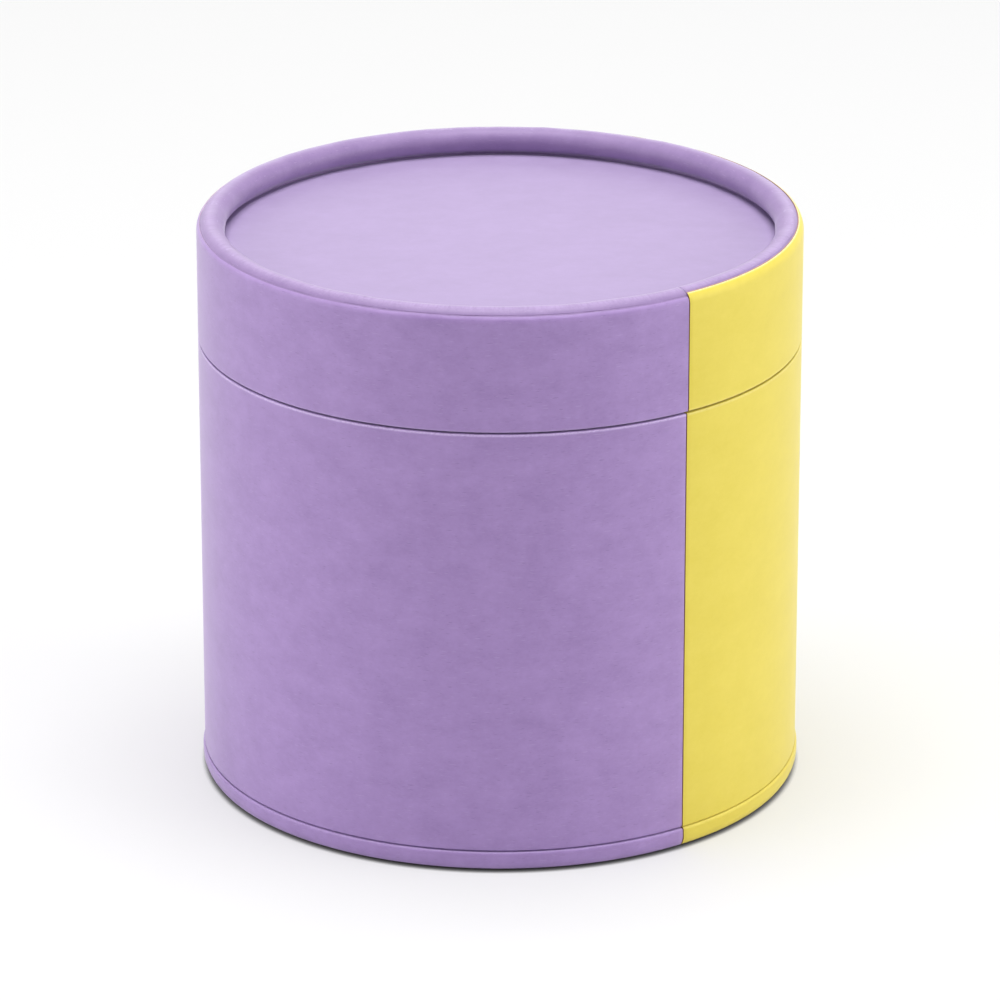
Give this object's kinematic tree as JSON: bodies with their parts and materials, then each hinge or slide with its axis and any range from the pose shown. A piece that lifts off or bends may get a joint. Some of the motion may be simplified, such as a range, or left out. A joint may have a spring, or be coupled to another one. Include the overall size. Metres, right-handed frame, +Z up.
{
  "type": "cylindrical gift box",
  "caption": "Round paper-covered gift box with a lift-off lid over an inner neck, rolled rims and a contrasting coloured side panel.",
  "frame": {"origin": "centre of the foot ring, on the surface that the box stands on", "axes": "+Z up along the axis of the tubes; the front of the box faces -Y, and +X is to its right, where the yellow panel starts"},
  "size_m": [0.1006, 0.1006, 0.0963],
  "materials": {
    "lavender_board": "matte",
    "lavender_paper": "matte",
    "yellow_paper": "matte",
    "white_paper": "matte",
    "grey_board": "matte"
  },
  "bodies": {
    "box": {"body_tube": "lavender_board", "body_wrap": "lavender_paper", "body_panel": "yellow_paper", "base_disc": "grey_board", "base_facing": "lavender_paper", "base_lining": "white_paper", "neck_tube": "grey_board", "neck_wrap": "white_paper", "neck_lining": "white_paper"},
    "lid": {"lid_tube": "lavender_board", "lid_wrap": "lavender_paper", "lid_panel": "yellow_paper", "lid_disc": "grey_board", "lid_top_facing": "lavender_paper", "lid_disc_lining": "white_paper", "lid_wall_lining": "white_paper"}
  },
  "joints": [
    {"name": "lid_lift", "type": "slide", "parent": "box", "child": "lid", "axis": [0, 0, 1], "range_m": [0, 0.06]}
  ]
}
